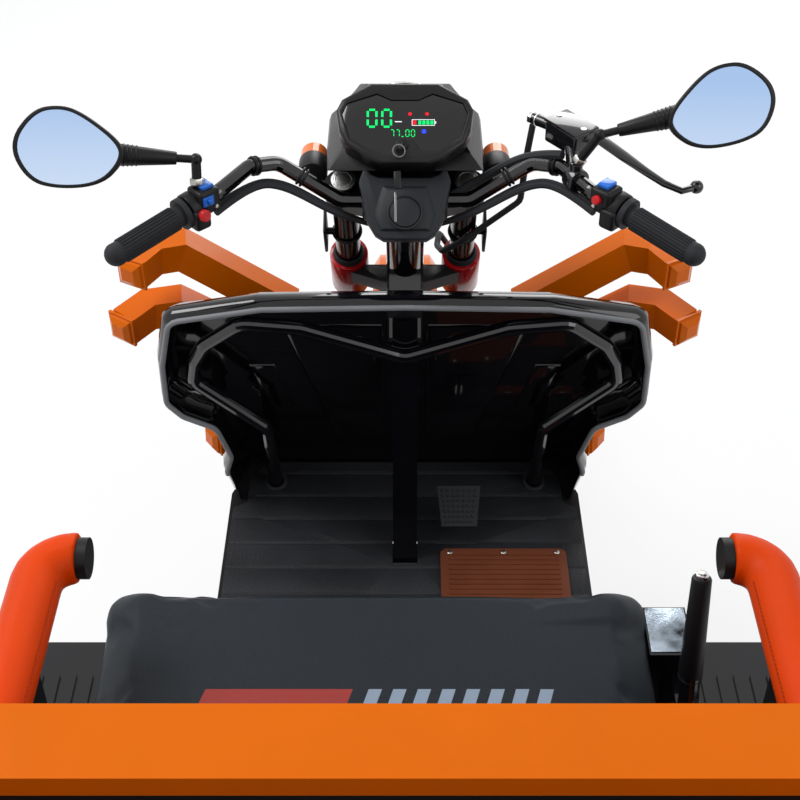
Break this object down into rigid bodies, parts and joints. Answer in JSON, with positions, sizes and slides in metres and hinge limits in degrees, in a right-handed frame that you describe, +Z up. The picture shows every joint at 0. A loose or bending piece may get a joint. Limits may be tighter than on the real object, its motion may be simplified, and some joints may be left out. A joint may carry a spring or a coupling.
{
  "type": "electric cargo tricycle",
  "caption": "Cargo tricycle with a steered front wheel, open cockpit with leg shield and bench seat, and a drop-side bed with a hinged tailgate.",
  "frame": {"origin": "on the ground under the middle of the vehicle's length and width", "axes": "+Y forwards, +X to the rider's right, +Z up"},
  "size_m": [1.1, 3.2192, 1.23],
  "materials": {
    "orange_paint": "gloss",
    "bed_orange": "gloss",
    "frame_black": "satin",
    "shield_black": "gloss",
    "black_plastic": "matte",
    "rubber_mat": "matte",
    "heel_rubber": "matte",
    "rim_trim": "satin",
    "black_rubber": "matte",
    "tyre": "matte",
    "wheel_steel": "satin",
    "chrome": "polished",
    "red_sleeve": "gloss",
    "fork_grey": "satin",
    "seat_leather": "satin",
    "arm_leather": "satin",
    "battery": "matte",
    "bed_steel": "satin",
    "axle_iron": "satin",
    "spring_steel": "satin",
    "red_lens": "gloss",
    "amber_lens": "gloss",
    "clear_lens": "gloss",
    "screen": "gloss",
    "mirror": "polished",
    "caliper": "satin",
    "fender_orange": "gloss"
  },
  "bodies": {
    "chassis": {"frame_rails": "frame_black", "cross_members": "frame_black", "spine_tube": "frame_black", "floor_plate": "frame_black", "floor_mat": "rubber_mat", "heel_plate": "heel_rubber", "leg_shield": "shield_black", "shield_rim": "rim_trim", "knee_bar": "frame_black", "front_guard": "orange_paint", "guard_plugs": "orange_paint", "brake_pedal": "black_rubber", "seat_box": "shield_black", "battery_pack": "battery", "seat_cushion": "seat_leather", "backrest": "seat_leather", "armrests": "arm_leather", "armrest_mounts": "black_plastic", "parking_brake": "black_plastic", "bed_bearers": "frame_black", "bed_floor": "bed_steel", "bed_panels": "bed_orange", "bed_frame": "bed_orange", "rear_fenders": "black_plastic", "rear_axle": "axle_iron", "leaf_springs": "spring_steel", "tail_lamps": "red_lens"},
    "tailgate": {"tailgate": "bed_orange"},
    "fork": {"fork_yokes": "frame_black", "fork_tubes": "chrome", "fork_sleeves": "red_sleeve", "fork_legs": "fork_grey", "handlebar": "chrome", "bar_cover": "black_plastic", "grips": "black_rubber", "switch_pods": "black_plastic", "brake_master": "black_plastic", "brake_hose": "black_rubber", "brake_caliper": "caliper", "mirrors": "black_plastic", "mirror_glass": "mirror", "dash_case": "shield_black", "dash_screen": "screen", "headlamp": "shield_black", "headlamp_lens": "clear_lens", "turn_signals": "amber_lens", "front_fender": "fender_orange"},
    "front_wheel": {"front_tyre": "tyre", "front_rim": "wheel_steel"},
    "rear_wheel_left": {"rear_tyre_left": "tyre", "rear_rim_left": "wheel_steel"},
    "rear_wheel_right": {"rear_tyre_right": "tyre", "rear_rim_right": "wheel_steel"}
  },
  "joints": [
    {"name": "steering", "type": "hinge", "parent": "chassis", "child": "fork", "pos_m": [0, 0.91535, 0.985], "axis": [0, -0.454, 0.891], "range_deg": [-40, 40]},
    {"name": "front_wheel_spin", "type": "hinge", "parent": "fork", "child": "front_wheel", "pos_m": [0, 1.35465, 0.255], "axis": [1, 0, 0], "continuous": true},
    {"name": "rear_left_spin", "type": "hinge", "parent": "chassis", "child": "rear_wheel_left", "pos_m": [-0.45, -0.80965, 0.255], "axis": [1, 0, 0], "continuous": true},
    {"name": "rear_right_spin", "type": "hinge", "parent": "chassis", "child": "rear_wheel_right", "pos_m": [0.45, -0.80965, 0.255], "axis": [1, 0, 0], "continuous": true},
    {"name": "tailgate_hinge", "type": "hinge", "parent": "chassis", "child": "tailgate", "pos_m": [0, -1.59565, 0.622], "axis": [1, 0, 0], "range_deg": [0, 180]}
  ]
}
